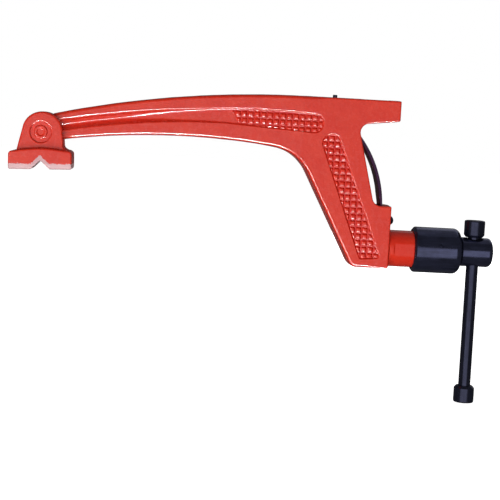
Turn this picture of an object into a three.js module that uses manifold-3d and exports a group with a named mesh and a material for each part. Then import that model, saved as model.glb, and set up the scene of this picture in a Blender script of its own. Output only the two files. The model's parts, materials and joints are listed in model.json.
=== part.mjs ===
// Long-reach lever clamp arm for a vertical rack bar, in millimetres, +Z up.
// The arm reaches out along -X, the bar's channel runs along Z, and the depth lies along Y.
// The origin is the middle of the toothed seat that bears on the bar's front face.

import * as THREE from 'three';
import { mergeVertices } from 'three/addons/utils/BufferGeometryUtils.js';
import Module from 'manifold-3d';

const wasm = await Module();
wasm.setup();

// ---- Driving dimensions ----

const GAP = 0.3; // air between pieces that touch or run together

const REACH = 235.1; // from the bar seat to the pad's pivot
const PIVOT_Z = -26.3;
const PAD_TILT = THREE.MathUtils.degToRad(2.1); // the pad's rest attitude, nose up to the right

const HEAD_TOP = 10.3;
const HEAD_HALF_DEPTH = 15; // half the thickness of the head, leg and lower block
const ARM_TOP_RADIUS = 750; // long arch of the arm's top edge
const ARM_TOP_START_X = -44; // where that arch leaves the level head
const ARM_BELLY = { x: -132, z: -24, radius: 550 }; // crown of the arm's lower arch
const NOSE_END = 25.3;
const NOSE_UNDER_Z = -5.3;
const TAB_UNDER_Z = -8.3;
const TAB_FILLET = 6;
const LEG_FRONT = { topX: -4.8, footX: 9.55 }; // corners of the edge facing the bar
const LEG_BACK = { topX: -48.8, topZ: -30.5, footX: -5, fillet: 34 }; // corners of the edge facing the work
const BLOCK_TOP = -66.6;
const BLOCK_BOTTOM = -113;
const BLOCK_FACE_X = 22.7;
const BLOCK_CORNER = 6;

const TONGUE_HALF = 5.9; // the arm's end between the pad's cheeks
const TONGUE_RADIUS = 11;
const TONGUE_END_X = -212; // where the arm starts to thicken
const ARM_FULL_X = -46; // where it reaches the leg's thickness
const FLUTE_DEPTH = 3.2;
const PANEL_DEPTH = 1.8;

const SLOT_HALF = 8.6; // half the width of the bar's channel
const SLOT_FLOOR_X = -6;
const WINDOW_FRONT_X = -2.2; // room in the lower block for the arm to rock on the bar
const WALL_INNER_X = 16.45;
const NOSE_INNER_X = 17.2;

const SHOE = { back: -27.7, bottom: -8.6, top: 5.7, toothPitch: 3.4, toothDepth: 1.3, land: 1.4, teeth: 4 };
const SHOE_PIN = { x: -22.2, radius: 1.65, top: 12.2, bottom: -2 };

const LEAF = { radius: 84, thickness: 1.7, halfWidth: 8.3, bendZ: -70, footZ: -87, sweep: 0.7 };
const SPRING_RIVET = { z: -78, shank: 2, dome: 3.8, domeHeight: 3.6, innerHead: 3.2, innerHeight: 1.1 };

const SCREW_Z = -98.5;
const BUSH = { radius: 13.5, spigot: 11, end: 42.2, bore: 8.1, flatY: 12.7, flatStart: 25 };
const BUTTON = { radius: 8, front: 16.9, back: 21.5, socket: 4.2, groove: 5.2, socketDepth: 3.4 };
const RING = { inner: 3.2, outer: 4.9, x: 19.4, half: 0.4, mouth: 1.6 };
const THREAD_RADIUS = 7.75;
const SHANK_RADIUS = 8.6;
const SLEEVE = { radius: 16.9, bore: 14.1, rim: 41.2, bevel: 1.6, cavityEnd: 58.2, end: 76.9, shoulder: 5.2 };
const SLEEVE_PIN = { x: 60.6, radius: 1.2, lift: THREE.MathUtils.degToRad(16) };
const HEAD = { radius: 10.8, start: 77.7, end: 101.1, rounding: 3.6, neck: 9.4 };

const ROD = { x: 87.7, radius: 4.5, hole: 4.9, bottom: -208.8, top: -77.3 };
const KNOB = { radius: 7.6, height: 12.5, bevel: 1.4 };
const UPPER_KNOB_BOTTOM = -87.4;
const LOWER_KNOB_TOP = -198.7;

const PAD = {
  halfWidth: 22.8, baseTop: -13.2, bottom: -26.8, baseHalfDepth: 18, cheekHalf: 12.5, crotch: 6.5,
  lugRadius: 14.5, lugLift: 0.4, lugFoot: 17.4, corner: 2.2, notchHalf: 6.8, notchDepth: 6.6,
  edgeHeight: 4, edgeBevel: 0.9,
};
const PAD_RIVET = { shank: 4, head: 4.8, seat: 7.6, seatDepth: 1.6, headHeight: 1.1, dimple: 2.4, dimpleDepth: 0.8 };

// ---- Helpers ----

const AROUND = 40; // facets around a round piece

/** A closed manifold solid from a three.js geometry. */
function solid(geometry) {
  const bare = geometry.clone();
  bare.deleteAttribute('normal');
  bare.deleteAttribute('uv');
  const merged = mergeVertices(bare, 1e-4);
  const index = merged.index.array;
  const kept = [];
  for (let i = 0; i < index.length; i += 3) {
    const [a, b, c] = [index[i], index[i + 1], index[i + 2]];
    if (a !== b && b !== c && a !== c) kept.push(a, b, c);
  }
  return new wasm.Manifold(new wasm.Mesh({
    numProp: 3,
    vertProperties: Float32Array.from(merged.attributes.position.array),
    triVerts: Uint32Array.from(kept),
  }));
}

/** A side-view outline, drawn in X and Z, given depth along Y. */
function plate(shape, y0, y1, curveSegments = 10) {
  const geometry = new THREE.ExtrudeGeometry(shape, { depth: y1 - y0, bevelEnabled: false, curveSegments });
  return solid(geometry.rotateX(Math.PI / 2).translate(0, y1, 0));
}

/** A top-view outline, drawn in X and Y, given height along Z. */
function slab(shape, z0, z1) {
  const geometry = new THREE.ExtrudeGeometry(shape, { depth: z1 - z0, bevelEnabled: false });
  return solid(geometry.translate(0, 0, z0));
}

function box(x0, x1, y0, y1, z0, z1) {
  const geometry = new THREE.BoxGeometry(x1 - x0, y1 - y0, z1 - z0);
  return solid(geometry.translate((x0 + x1) / 2, (y0 + y1) / 2, (z0 + z1) / 2));
}

/** A turned solid from [radius, height] pairs that start and end on the axis, about +Z. */
function turned(profile, around = AROUND) {
  const points = profile.map(([r, h]) => new THREE.Vector2(r, h));
  return new THREE.LatheGeometry(points, around).rotateX(Math.PI / 2);
}

/** The same, about the screw's axis, with heights measured along X. */
function turnedOnScrew(profile, around = AROUND) {
  return solid(turned(profile, around).rotateY(Math.PI / 2).translate(0, 0, SCREW_Z));
}

function cylinderProfile(radius, start, end) {
  return [[0, start], [radius, start], [radius, end], [0, end]];
}

/** Profile points of a quarter round from angle a to angle b about a centre. */
function roundedCorner(centreR, centreH, radius, a, b, steps = 5) {
  return Array.from({ length: steps + 1 }, (_, i) => {
    const angle = a + ((b - a) * i) / steps;
    return [centreR + radius * Math.cos(angle), centreH + radius * Math.sin(angle)];
  });
}

function polygon(points) {
  return new THREE.Shape(points.map(([x, y]) => new THREE.Vector2(x, y)));
}

/** A closed outline whose corners, given as [x, y, radius], are rounded with arcs. */
function roundedPolygon(corners) {
  const shape = new THREE.Shape();
  corners.forEach(([x, y, radius = 0], i) => {
    const [px, py] = corners[(i + corners.length - 1) % corners.length];
    const [nx, ny] = corners[(i + 1) % corners.length];
    const here = new THREE.Vector2(x, y);
    const back = new THREE.Vector2(px - x, py - y).normalize();
    const ahead = new THREE.Vector2(nx - x, ny - y).normalize();
    const half = Math.acos(THREE.MathUtils.clamp(back.dot(ahead), -1, 1)) / 2;
    const reach = radius / Math.tan(half);
    const from = here.clone().addScaledVector(back, reach);
    const to = here.clone().addScaledVector(ahead, reach);
    if (i === 0) shape.moveTo(from.x, from.y);
    else shape.lineTo(from.x, from.y);
    if (radius > 0) {
      const middle = back.clone().add(ahead).normalize();
      const centre = here.clone().addScaledVector(middle, radius / Math.sin(half));
      const a = Math.atan2(from.y - centre.y, from.x - centre.x);
      const b = Math.atan2(to.y - centre.y, to.x - centre.x);
      shape.absarc(centre.x, centre.y, radius, a, b, back.cross(ahead) > 0);
    }
  });
  shape.closePath();
  return shape;
}

const enamel = new THREE.MeshStandardMaterial({ color: 0xd0402e, roughness: 0.3, metalness: 0 });
const blackened = new THREE.MeshStandardMaterial({ color: 0x1c1c22, roughness: 0.4, metalness: 0.6 });
const springSteel = new THREE.MeshStandardMaterial({ color: 0x2c2430, roughness: 0.35, metalness: 0.8 });
const brightSteel = new THREE.MeshStandardMaterial({ color: 0xb8b4b4, roughness: 0.35, metalness: 1 });

const group = new THREE.Group();

function addPart(name, body, material) {
  const { vertProperties, triVerts, numProp } = body.getMesh();
  const position = new Float32Array((vertProperties.length / numProp) * 3);
  for (let i = 0; i < position.length / 3; i += 1) {
    position.set(vertProperties.subarray(i * numProp, i * numProp + 3), i * 3);
  }
  const geometry = new THREE.BufferGeometry();
  geometry.setAttribute('position', new THREE.BufferAttribute(position, 3));
  geometry.setIndex(new THREE.BufferAttribute(triVerts, 1));
  geometry.computeVertexNormals();
  const mesh = new THREE.Mesh(geometry, material);
  mesh.name = name;
  group.add(mesh);
}

// ---- The arm ----

/** Height of the arm's top edge at x: level over the head, then a long arch down to the pad. */
function armTop(x) {
  const along = Math.min(0, x - ARM_TOP_START_X);
  return HEAD_TOP - ARM_TOP_RADIUS + Math.sqrt(ARM_TOP_RADIUS ** 2 - along ** 2);
}

/** Height of the arm's lower edge at x. */
function armUnder(x) {
  const { x: crownX, z, radius } = ARM_BELLY;
  return z - radius + Math.sqrt(radius ** 2 - (x - crownX) ** 2);
}

/** Half the arm's thickness at x. */
function armHalfDepth(x) {
  const t = THREE.MathUtils.clamp((x - TONGUE_END_X) / (ARM_FULL_X - TONGUE_END_X), 0, 1);
  return THREE.MathUtils.lerp(TONGUE_HALF, HEAD_HALF_DEPTH, t);
}

/** The stretch of an edge curve from x0 to x1 as points. */
function edgePoints(curve, x0, x1, steps) {
  return Array.from({ length: steps + 1 }, (_, i) => {
    const x = x0 + ((x1 - x0) * i) / steps;
    return [x, curve(x)];
  });
}

function armOutline() {
  const bellyEndX = -68;
  const neckX = -REACH + 8;
  return roundedPolygon([
    [NOSE_END, HEAD_TOP, 1.2],
    [NOSE_END, NOSE_UNDER_Z, 1.6],
    [LEG_FRONT.topX, TAB_UNDER_Z - 0.6, TAB_FILLET],
    [LEG_FRONT.footX, BLOCK_TOP, BLOCK_CORNER],
    [BLOCK_FACE_X, BLOCK_TOP, 1.2],
    [BLOCK_FACE_X, BLOCK_BOTTOM, 2],
    [LEG_BACK.footX, BLOCK_BOTTOM, BLOCK_CORNER],
    [LEG_BACK.topX, LEG_BACK.topZ, LEG_BACK.fillet],
    ...edgePoints(armUnder, bellyEndX - 12, neckX, 8),
    ...edgePoints(armTop, neckX, ARM_TOP_START_X, 12),
  ]);
}

/** The recess between the arm's rounded edges. */
function fluteOutline() {
  const rim = 8.8;
  const [leftEnd, rightEnd] = [-219, -33];
  const lower = edgePoints((x) => armUnder(x) + rim, -66, leftEnd, 8);
  const upper = edgePoints((x) => armTop(x) - rim, leftEnd, rightEnd - 7, 10);
  return roundedPolygon([[rightEnd, -14.5, 5], [-52, -16.8], ...lower, ...upper, [rightEnd, 0.6, 5]]);
}

function legPanelOutline() {
  return roundedPolygon([[-34.4, -16.6, 6.4], [-19.5, -16.6, 5], [16.3, -105.4, 2.5], [0.6, -106.8, 2.5]]);
}

/** A recess of the given depth into both sides of the arm, following its taper. */
function sideRecess(outline, depth) {
  const floorProfile = [-260, TONGUE_END_X, ARM_FULL_X, 40].map((x) => [x, armHalfDepth(x) - depth]);
  const mirrored = floorProfile.map(([x, y]) => [x, -y]).reverse();
  const core = slab(polygon([...floorProfile, ...mirrored].reverse()), -130, 30);
  return plate(outline, -30, 30).subtract(core);
}

function makeArm() {
  const profile = [-260, TONGUE_END_X, ARM_FULL_X, 40].map((x) => [x, armHalfDepth(x)]);
  const mirrored = profile.map(([x, y]) => [x, -y]).reverse();
  const envelope = slab(polygon([...profile, ...mirrored].reverse()), -130, 30);
  const tongue = new THREE.Shape().absarc(-REACH, PIVOT_Z, TONGUE_RADIUS, 0, 2 * Math.PI);
  const neck = polygon([
    [-REACH, PIVOT_Z - TONGUE_RADIUS + 1.6], [-REACH + 9, armUnder(-REACH + 9)],
    [-REACH + 9, armTop(-REACH + 9)], [-REACH, PIVOT_Z + TONGUE_RADIUS - 0.4],
  ]);
  let arm = plate(armOutline(), -HEAD_HALF_DEPTH, HEAD_HALF_DEPTH).intersect(envelope);
  arm = arm.add(plate(tongue, -TONGUE_HALF, TONGUE_HALF, 20));
  arm = arm.add(plate(neck, -TONGUE_HALF, TONGUE_HALF));
  arm = arm.subtract(sideRecess(fluteOutline(), FLUTE_DEPTH));
  arm = arm.subtract(sideRecess(legPanelOutline(), PANEL_DEPTH));
  return arm.subtract(armOpenings());
}

/** The bar's channel, the shoe's pocket, and the holes for the pins, the rivet and the bush. */
function armOpenings() {
  const channel = polygon([
    [NOSE_INNER_X, 30], [WINDOW_FRONT_X, 30], [WINDOW_FRONT_X, SHOE.top + GAP],
    [SHOE.back - GAP, SHOE.top + GAP], [SHOE.back - GAP, SHOE.bottom - GAP],
    [SLOT_FLOOR_X, SHOE.bottom - GAP], [SLOT_FLOOR_X, -60], [WINDOW_FRONT_X, -70],
    [WINDOW_FRONT_X, -130], [WALL_INNER_X, -130], [WALL_INNER_X, -40], [NOSE_INNER_X, -40],
  ]);
  const belowShoe = box(SHOE.back - GAP, SLOT_FLOOR_X, -SLOT_HALF, SLOT_HALF, SHOE.bottom - GAP, SHOE.bottom);
  const pinHole = turned(cylinderProfile(SHOE_PIN.radius + GAP, 0, 30)).translate(SHOE_PIN.x, 0, 0);
  const pivotHole = new THREE.CylinderGeometry(PAD_RIVET.shank + GAP, PAD_RIVET.shank + GAP, 60, 28);
  return plate(channel, -SLOT_HALF, SLOT_HALF)
    .add(belowShoe)
    .add(solid(pinHole))
    .add(solid(pivotHole.translate(-REACH, 0, PIVOT_Z)))
    .add(turnedOnScrew(cylinderProfile(BUSH.spigot + GAP, 10, 30)))
    .add(rivetHole(SPRING_RIVET.shank + GAP, 10, 30));
}

function rivetHole(radius, start, end) {
  const hole = turned(cylinderProfile(radius, start, end), 20).rotateY(Math.PI / 2);
  return solid(hole.translate(0, 0, SPRING_RIVET.z));
}

// ---- The bar seat ----

function makeShoe() {
  const { back, bottom, top, toothPitch, toothDepth, land, teeth } = SHOE;
  const outline = [[back, top], [back, bottom], [-toothDepth, bottom]];
  const firstTooth = -Math.floor(teeth / 2);
  for (let i = 0; i < teeth; i += 1) {
    const middle = (firstTooth + i) * toothPitch;
    const root = toothPitch / 2 - 0.15;
    outline.push([-toothDepth, middle - root], [0, middle - land / 2], [0, middle + land / 2]);
    outline.push([-toothDepth, middle + root]);
  }
  outline.push([-toothDepth, top]);
  const body = plate(polygon(outline), -SLOT_HALF + GAP, SLOT_HALF - GAP);
  const hole = turned(cylinderProfile(SHOE_PIN.radius + GAP, SHOE_PIN.bottom - GAP, 30), 20);
  return body.subtract(solid(hole.translate(SHOE_PIN.x, 0, 0)));
}

function makeShoePin() {
  const { x, radius, top, bottom } = SHOE_PIN;
  const bevel = 0.5;
  const profile = [[0, bottom], [radius, bottom], [radius, top - bevel], [radius - bevel, top], [0, top]];
  return solid(turned(profile, 20).translate(x, 0, 0));
}

// ---- The leaf spring and its rivet ----

function makeLeaf() {
  const { radius, thickness, halfWidth, bendZ, footZ, sweep } = LEAF;
  const centreX = WALL_INNER_X - 0.05 - radius;
  const shape = new THREE.Shape();
  shape.moveTo(centreX + radius - thickness, footZ);
  shape.lineTo(centreX + radius, footZ);
  shape.lineTo(centreX + radius, bendZ);
  shape.absarc(centreX, bendZ, radius, 0, sweep, false);
  shape.absarc(centreX, bendZ, radius - thickness, sweep, 0, true);
  shape.closePath();
  return plate(shape, -halfWidth, halfWidth, 14).subtract(rivetHole(SPRING_RIVET.shank + GAP, 5, 30));
}

function makeSpringRivet() {
  const { shank, dome, domeHeight, innerHead, innerHeight, z } = SPRING_RIVET;
  const leafInner = WALL_INNER_X - LEAF.thickness - 0.05 - GAP;
  const outside = BLOCK_FACE_X + GAP;
  const profile = [
    [0, leafInner - innerHeight], [innerHead - 0.8, leafInner - innerHeight], [innerHead, leafInner],
    [shank, leafInner], [shank, outside], [dome, outside],
    ...Array.from({ length: 6 }, (_, i) => {
      const angle = ((i + 1) / 6) * (Math.PI / 2);
      return [i === 5 ? 0 : dome * Math.cos(angle), outside + domeHeight * Math.sin(angle)];
    }),
  ];
  return solid(turned(profile, 24).rotateY(Math.PI / 2).translate(0, 0, z));
}

// ---- The screw ----

function makeBush() {
  const { radius, spigot, end, bore, flatY, flatStart } = BUSH;
  const outside = turnedOnScrew([
    [0, WALL_INNER_X], [spigot, WALL_INNER_X], [spigot, BLOCK_FACE_X + GAP], [radius, BLOCK_FACE_X + GAP],
    [radius, end - 0.8], [radius - 0.8, end], [0, end],
  ]);
  const buttonSeat = turnedOnScrew(cylinderProfile(BUTTON.radius + GAP, 0, BUTTON.back + GAP));
  const flats = [-1, 1].map((side) => {
    const [near, far] = [side * flatY, side * (radius + 5)].sort((a, b) => a - b);
    return box(flatStart, end + 5, near, far, SCREW_Z - 15, SCREW_Z + 15);
  });
  return outside
    .subtract(turnedOnScrew(cylinderProfile(bore, 0, 60)))
    .subtract(buttonSeat)
    .subtract(flats[0])
    .subtract(flats[1]);
}

function makeButton() {
  const { radius, front, back, socket, groove, socketDepth } = BUTTON;
  const disc = turnedOnScrew([[0, front], [radius - 1, front], [radius, front + 1], [radius, back], [0, back]]);
  const socketHole = turnedOnScrew(cylinderProfile(socket, back - socketDepth, back + 5), 28);
  const ringRoom = turnedOnScrew(cylinderProfile(groove, RING.x - 0.8, RING.x + 0.8), 28);
  return disc.subtract(socketHole).subtract(ringRoom);
}

function makeButtonRing() {
  const { inner, outer, x, half, mouth } = RING;
  const ring = turnedOnScrew(cylinderProfile(outer, x - half, x + half), 28)
    .subtract(turnedOnScrew(cylinderProfile(inner, 0, 60), 28));
  return ring.subtract(box(0, 60, -mouth / 2, mouth / 2, SCREW_Z, SCREW_Z + 10));
}

function makeSpindle() {
  const { radius, start, end, rounding, neck } = HEAD;
  const noseStart = BUTTON.back - BUTTON.socketDepth + GAP;
  const threadStart = BUTTON.back + GAP;
  const body = turnedOnScrew([
    [0, noseStart], [3.6, noseStart], [3.6, RING.x - 0.7], [2.9, RING.x - 0.7], [2.9, RING.x + 0.7],
    [3.6, RING.x + 0.7], [3.6, threadStart], [THREAD_RADIUS - 1, threadStart], [THREAD_RADIUS, threadStart + 1],
    [THREAD_RADIUS, SLEEVE.cavityEnd - 0.5], [SHANK_RADIUS, SLEEVE.cavityEnd - 0.5],
    [SHANK_RADIUS, SLEEVE.end], [neck, SLEEVE.end + GAP], [neck, start], [radius - 0.8, start],
    [radius, start + 0.8],
    ...roundedCorner(radius - rounding, end - rounding, rounding, 0, Math.PI / 2),
    [0, end],
  ]);
  const rodHole = turned(cylinderProfile(ROD.hole, -200, 0), 32).translate(ROD.x, 0, 0);
  return body.subtract(solid(rodHole)).subtract(sleevePinHole());
}

function makeSleeve() {
  const { radius, bore, rim, bevel, cavityEnd, end, shoulder } = SLEEVE;
  const outside = turnedOnScrew([
    [0, rim], [bore + 0.6, rim], [radius, rim + bevel],
    ...roundedCorner(radius - shoulder, end - shoulder, shoulder, 0, Math.PI / 2),
    [0, end],
  ]);
  const cavity = turnedOnScrew(cylinderProfile(bore, 0, cavityEnd));
  const bore2 = turnedOnScrew(cylinderProfile(SHANK_RADIUS + GAP, 0, 100));
  return outside.subtract(cavity).subtract(bore2).subtract(sleevePinHole());
}

/** A cylinder across the screw's axis, leaning up from the front, for the sleeve's pin and its hole. */
function sleevePinBody(radius, from, to) {
  const body = turned(cylinderProfile(radius, from, to), 16).rotateX(Math.PI / 2 - SLEEVE_PIN.lift);
  return solid(body.translate(SLEEVE_PIN.x, 0, SCREW_Z));
}

function sleevePinHole() {
  return sleevePinBody(SLEEVE_PIN.radius + GAP, 4.5, 30);
}

// ---- The tommy bar ----

function makeRod() {
  const { x, radius, bottom, top } = ROD;
  const bevel = 0.6;
  const profile = [
    [0, bottom], [radius - bevel, bottom], [radius, bottom + bevel], [radius, top - bevel],
    [radius - bevel, top], [0, top],
  ];
  return solid(turned(profile, 32).translate(x, 0, 0));
}

/** A knob that is open towards the rod; the far end is rounded and the near rim is bevelled. */
function makeKnob(nearZ, farZ) {
  const { radius, bevel } = KNOB;
  const out = Math.sign(farZ - nearZ);
  const profile = [
    [0, nearZ], [radius - bevel, nearZ], [radius, nearZ + out * bevel * 1.3],
    [radius, farZ - out * 2], [radius - 0.6, farZ - out * 0.6], [radius - 2, farZ], [0, farZ],
  ];
  if (out < 0) profile.reverse();
  const socketEnd = out > 0 ? ROD.top + GAP : ROD.bottom - GAP;
  const [low, high] = [nearZ - out * 5, socketEnd].sort((a, b) => a - b);
  const socket = turned(cylinderProfile(ROD.radius + GAP, low, high), 32);
  return solid(turned(profile).translate(ROD.x, 0, 0)).subtract(solid(socket.translate(ROD.x, 0, 0)));
}

// ---- The swivel pad, drawn about its pivot and then tilted ----

function padLugOutline() {
  const { lugRadius, lugLift, lugFoot, baseTop } = PAD;
  const reach = Math.hypot(lugFoot, baseTop - lugLift);
  const lean = Math.atan2(lugLift - baseTop, lugFoot);
  const tangent = Math.acos(lugRadius / reach) - lean;
  const shape = new THREE.Shape();
  shape.moveTo(-lugFoot, baseTop - 2);
  shape.lineTo(lugFoot, baseTop - 2);
  shape.lineTo(lugFoot, baseTop);
  shape.absarc(0, lugLift, lugRadius, tangent, Math.PI - tangent, false);
  shape.lineTo(-lugFoot, baseTop);
  shape.closePath();
  return shape;
}

function makePad() {
  const { halfWidth, baseTop, bottom, baseHalfDepth, cheekHalf, crotch, corner } = PAD;
  const { notchHalf, notchDepth, edgeHeight, edgeBevel } = PAD;
  const baseOutline = roundedPolygon([
    [-halfWidth, bottom, 1], [halfWidth, bottom, 1], [halfWidth, baseTop, corner], [-halfWidth, baseTop, corner],
  ]);
  let pad = plate(baseOutline, -baseHalfDepth, baseHalfDepth);
  pad = pad.add(plate(padLugOutline(), -cheekHalf, cheekHalf, 20));
  const notch = polygon([[-notchHalf - 3, bottom - 3], [notchHalf + 3, bottom - 3], [0, bottom + notchDepth]]);
  pad = pad.subtract(plate(notch, -30, 30));
  for (const side of [-1, 1]) {
    const wedge = polygon([[side * (baseHalfDepth - edgeBevel), bottom], [side * baseHalfDepth, bottom + edgeHeight],
      [side * (baseHalfDepth + 3), bottom + edgeHeight], [side * (baseHalfDepth + 3), bottom]]);
    const geometry = new THREE.ExtrudeGeometry(wedge, { depth: 80, bevelEnabled: false });
    geometry.rotateX(Math.PI / 2).rotateZ(Math.PI / 2).translate(-40, 0, 0);
    pad = pad.subtract(solid(geometry));
    const seat = new THREE.CylinderGeometry(PAD_RIVET.seat, PAD_RIVET.seat, 10, 36);
    pad = pad.subtract(solid(seat.translate(0, side * (cheekHalf - PAD_RIVET.seatDepth + 5), 0)));
  }
  const fork = new THREE.Shape().absarc(0, 0, -baseTop - 0.2, 0, 2 * Math.PI);
  const hole = new THREE.CylinderGeometry(PAD_RIVET.shank + GAP, PAD_RIVET.shank + GAP, 60, 28);
  pad = pad.subtract(plate(fork, -crotch, crotch, 20));
  pad = pad.subtract(box(-40, 40, -crotch, crotch, baseTop, 40)).subtract(solid(hole));
  return tiltToRest(pad);
}

function makePadRivet() {
  const { shank, head, seatDepth, headHeight, dimple, dimpleDepth } = PAD_RIVET;
  const under = PAD.cheekHalf - seatDepth + GAP;
  const top = under + headHeight;
  const half = [[shank, under], [head, under], [head - 0.5, top], [dimple, top], [dimple - 0.8, top - dimpleDepth],
    [0, top - dimpleDepth]];
  const profile = [...half.map(([r, h]) => [r, -h]).reverse(), ...half];
  return solid(turned(profile, 32).rotateX(Math.PI / 2).translate(-REACH, 0, PIVOT_Z));
}

/** Turns a piece drawn about the pivot to the pad's rest attitude and puts it on the arm. */
function tiltToRest(body) {
  return body.rotate([0, -THREE.MathUtils.radToDeg(PAD_TILT), 0]).translate([-REACH, 0, PIVOT_Z]);
}

// ---- Assembly ----

addPart('arm_body', makeArm(), enamel);
addPart('rack_shoe', makeShoe(), brightSteel);
addPart('shoe_pin', makeShoePin(), blackened);
addPart('leaf_spring', makeLeaf(), springSteel);
addPart('spring_rivet', makeSpringRivet(), blackened);
addPart('spindle_bush', makeBush(), enamel);
addPart('thrust_button', makeButton(), brightSteel);
addPart('button_ring', makeButtonRing(), springSteel);
addPart('spindle', makeSpindle(), blackened);
addPart('guard_sleeve', makeSleeve(), blackened);
addPart('sleeve_pin', sleevePinBody(SLEEVE_PIN.radius, 4.8, SLEEVE.radius + 0.2), blackened);
addPart('tommy_rod', makeRod(), blackened);
addPart('upper_knob', makeKnob(UPPER_KNOB_BOTTOM, UPPER_KNOB_BOTTOM + KNOB.height), blackened);
addPart('lower_knob', makeKnob(LOWER_KNOB_TOP, LOWER_KNOB_TOP - KNOB.height), blackened);
addPart('swivel_pad', makePad(), enamel);
addPart('pad_rivet', makePadRivet(), enamel);

export default group;
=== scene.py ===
"""Looks of a long-reach lever clamp arm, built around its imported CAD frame.

Shapes are worked out in the part's own frame in millimetres and turned to metres when a mesh is made.
Forged and machined pieces are carved from signed distance fields, and plain turned pieces are lathed.
"""
import json
import math

import bpy
import numpy as np
from mathutils import Matrix, Vector


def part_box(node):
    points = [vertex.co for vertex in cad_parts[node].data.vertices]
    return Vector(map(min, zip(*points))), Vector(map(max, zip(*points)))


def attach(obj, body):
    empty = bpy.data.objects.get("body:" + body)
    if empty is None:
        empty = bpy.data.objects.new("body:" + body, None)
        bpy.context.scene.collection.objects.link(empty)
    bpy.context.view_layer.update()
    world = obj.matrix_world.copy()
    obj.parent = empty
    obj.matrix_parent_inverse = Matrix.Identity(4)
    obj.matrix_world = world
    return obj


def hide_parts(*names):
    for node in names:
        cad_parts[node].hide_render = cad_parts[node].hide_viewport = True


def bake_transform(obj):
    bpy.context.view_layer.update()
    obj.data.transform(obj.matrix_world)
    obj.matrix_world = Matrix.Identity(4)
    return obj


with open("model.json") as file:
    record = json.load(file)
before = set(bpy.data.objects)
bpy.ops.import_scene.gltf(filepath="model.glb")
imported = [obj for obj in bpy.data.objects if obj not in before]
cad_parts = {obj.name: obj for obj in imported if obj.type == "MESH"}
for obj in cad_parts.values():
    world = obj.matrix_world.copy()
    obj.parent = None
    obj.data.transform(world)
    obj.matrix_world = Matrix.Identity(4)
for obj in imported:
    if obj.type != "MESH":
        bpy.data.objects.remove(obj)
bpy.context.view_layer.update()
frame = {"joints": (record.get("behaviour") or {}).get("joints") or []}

# ---- Sizes and places, in millimetres ----

MM = 0.001


def node_box(node):
    low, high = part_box(node)
    return np.array(low) / MM, np.array(high) / MM


def joint_place(name):
    joint = next(j for j in frame["joints"] if j["name"] == name)
    return np.array(joint["pos_m"]) / MM


ARM_LOW, ARM_HIGH = node_box("arm_body")
HEAD_TOP, BLOCK_BOTTOM = ARM_HIGH[2], ARM_LOW[2]
NOSE_END, HEAD_HALF = ARM_HIGH[0], ARM_HIGH[1]
PIVOT = joint_place("pad_swivel")
SCREW_Z = joint_place("spindle_turn")[2]
LEAF_BEND_Z = joint_place("leaf_flex")[2]

BUSH_LOW, BUSH_HIGH = node_box("spindle_bush")
WALL_INNER_X, BUSH_END = BUSH_LOW[0], BUSH_HIGH[0]
BUSH_RADIUS = BUSH_HIGH[2] - SCREW_Z
SLEEVE_LOW, SLEEVE_HIGH = node_box("guard_sleeve")
SLEEVE_RADIUS = SLEEVE_HIGH[2] - SCREW_Z
SPINDLE_LOW, SPINDLE_HIGH = node_box("spindle")
HEAD_RADIUS = SPINDLE_HIGH[2] - SCREW_Z
BUTTON_LOW, BUTTON_HIGH = node_box("thrust_button")
RING_LOW, RING_HIGH = node_box("button_ring")
RING_X = (RING_LOW[0] + RING_HIGH[0]) / 2
ROD_LOW, ROD_HIGH = node_box("tommy_rod")
ROD_X, ROD_RADIUS = (ROD_LOW[0] + ROD_HIGH[0]) / 2, (ROD_HIGH[0] - ROD_LOW[0]) / 2
SHOE_LOW, SHOE_HIGH = node_box("rack_shoe")
SHOE_PIN_LOW, SHOE_PIN_HIGH = node_box("shoe_pin")
SHOE_PIN_X = (SHOE_PIN_LOW[0] + SHOE_PIN_HIGH[0]) / 2
LEAF_LOW, LEAF_HIGH = node_box("leaf_spring")
RIVET_LOW, RIVET_HIGH = node_box("spring_rivet")
RIVET_Z = (RIVET_LOW[2] + RIVET_HIGH[2]) / 2
PAD_TILT = math.radians(2.1)
FLOOR_Z = node_box("lower_knob")[0][2]

BLOCK_FACE_X = 22.7
BLOCK_TOP = -66.6
NOSE_UNDER_Z = -5.3
TAB_UNDER_Z = -8.9
LEG_FRONT_TOP_X, LEG_FRONT_FOOT_X = -4.8, 9.55
LEG_BACK_FOOT_X = -5
LEG_BACK_TOP = (-48.8, -30.5)
ARM_TOP_RADIUS, ARM_TOP_START_X = 750, -44
ARM_BELLY_X, ARM_BELLY_Z, ARM_BELLY_RADIUS = -132, -24, 550
TONGUE_HALF, TONGUE_RADIUS, TONGUE_END_X, ARM_FULL_X = 5.9, 11, -212, -46
FORGING_DRAFT = 0.03
ARM_RIPPLE, ARM_RIPPLE_LENGTH = 0.07, 9.0
PAD_RIPPLE, PAD_RIPPLE_LENGTH = 0.05, 7.0

SLOT_HALF, SLOT_FLOOR_X, WINDOW_FRONT_X, NOSE_INNER_X = 8.6, -6, -2.2, 17.2
GAP, SEAT_AIR = 0.3, 0.05
ALONG_SCREW, ACROSS, UP = (1, 0, 0), (0, 1, 0), (0, 0, 1)

GRIP_PITCH_X, GRIP_PITCH_Z = 4.68, 4.7
GRIP_SQUARE, GRIP_HEIGHT = 3.95, 0.95
GRIP_CORNER, GRIP_FLANK = 0.9, 1.4
GRIP_WANDER, GRIP_UNEVEN = 0.12, 0.10
ARM_GRIP_START, LEG_GRIP_START = (-100.6, -17.1), (-36.2, -111.2)
ARM_GRIP_END_X, ARM_GRIP_END_Z, ARM_GRIP_END_SLANT = -99.3, -2.4, 0.72
ARM_GRIP_FLOOR, LEG_GRIP_FLOOR = 1.25, 1.3
PANEL_SHADE = 0.2
FLUTE_DEEP = 3.9

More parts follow.
